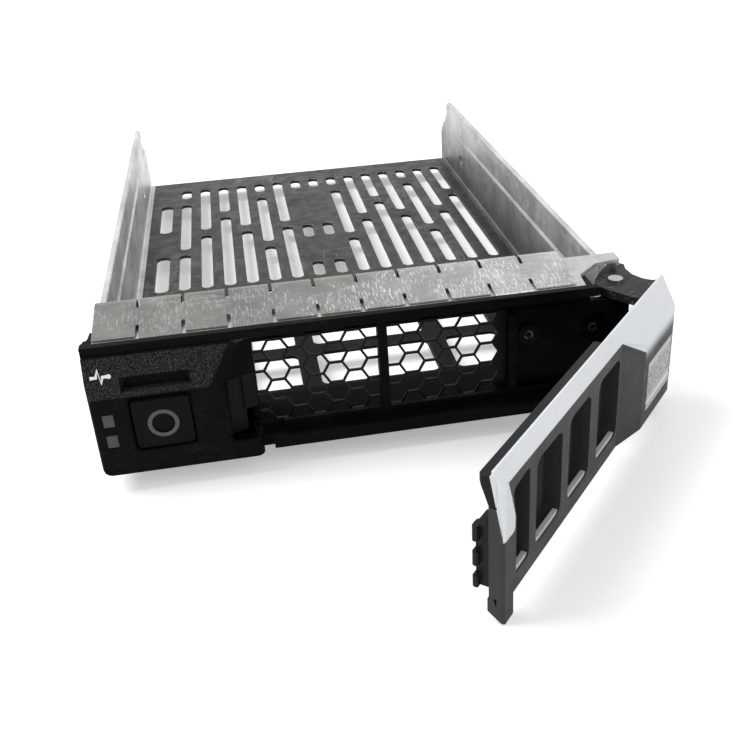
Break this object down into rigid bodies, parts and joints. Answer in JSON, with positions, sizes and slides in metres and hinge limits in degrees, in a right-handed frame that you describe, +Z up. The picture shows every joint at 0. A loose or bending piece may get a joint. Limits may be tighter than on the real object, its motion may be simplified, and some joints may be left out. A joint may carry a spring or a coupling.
{
  "type": "hot swap drive caddy",
  "caption": "Sheet-metal tray for a hard drive with a moulded front, contact spring strip, perforated air window, push button and a swing-out lever.",
  "frame": {"origin": "middle of the front plane of the moulded front, at the level of the tray's underside", "axes": "+X to the right seen from the front, +Y into the bay (towards the connector end), +Z up"},
  "size_m": [0.113, 0.2284, 0.0314],
  "materials": {
    "tray": "plain rolled zinc-coated steel, satin",
    "front_bracket": "satin",
    "emi_fingers": "bright, fine brushed",
    "bezel": "fine texture",
    "front_screen": "satin",
    "release_button": "smooth",
    "button_spring": "bright wire",
    "latch_slider": "smooth",
    "latch_spring": "bright wire",
    "latch_cover": "smooth",
    "light_pipe_upper": "clear moulded polymer",
    "light_pipe_lower": "clear moulded polymer",
    "pipe_clips": "smooth",
    "handle_lever": "smooth",
    "handle_trim": "satin silver",
    "handle_sill": "satin silver",
    "handle_grille": "fine speckle",
    "handle_label": "satin",
    "hinge_pin": "bright",
    "pin_clip": "bright",
    "handle_spring": "bright wire",
    "bezel_screws": "satin",
    "bracket_rivets": "satin"
  },
  "bodies": {
    "base": {"tray": "tray", "front_bracket": "front_bracket", "emi_fingers": "emi_fingers", "bezel": "bezel", "front_screen": "front_screen", "button_spring": "button_spring", "latch_spring": "latch_spring", "latch_cover": "latch_cover", "light_pipe_upper": "light_pipe_upper", "light_pipe_lower": "light_pipe_lower", "pipe_clips": "pipe_clips", "bezel_screws": "bezel_screws", "bracket_rivets": "bracket_rivets", "handle_spring": "handle_spring"},
    "handle": {"handle_lever": "handle_lever", "handle_trim": "handle_trim", "handle_sill": "handle_sill", "handle_grille": "handle_grille", "handle_label": "handle_label", "hinge_pin": "hinge_pin", "pin_clip": "pin_clip"},
    "button": {"release_button": "release_button"},
    "latch": {"latch_slider": "latch_slider"}
  },
  "joints": [
    {"name": "handle_hinge", "type": "hinge", "parent": "base", "child": "handle", "pos_m": [0.05015, 0.0104, 0], "axis": [0, 0, 1], "range_deg": [-49, 0], "stiffness_Nm_per_rad": 0.02, "springref_deg": 11.46},
    {"name": "button_press", "type": "slide", "parent": "base", "child": "button", "axis": [0, 1, 0], "range_m": [0, 0.002], "stiffness_N_per_m": 400, "springref_m": -0.0005, "deforming": ["button_spring"]},
    {"name": "latch_slide", "type": "slide", "parent": "base", "child": "latch", "axis": [-1, 0, 0], "range_m": [0, 0.0015], "stiffness_N_per_m": 100, "springref_m": -0.0005, "deforming": ["latch_spring"]}
  ],
  "couplings": [
    {"joint": "latch_slide", "follows": "button_press", "ratio": 0.7}
  ]
}
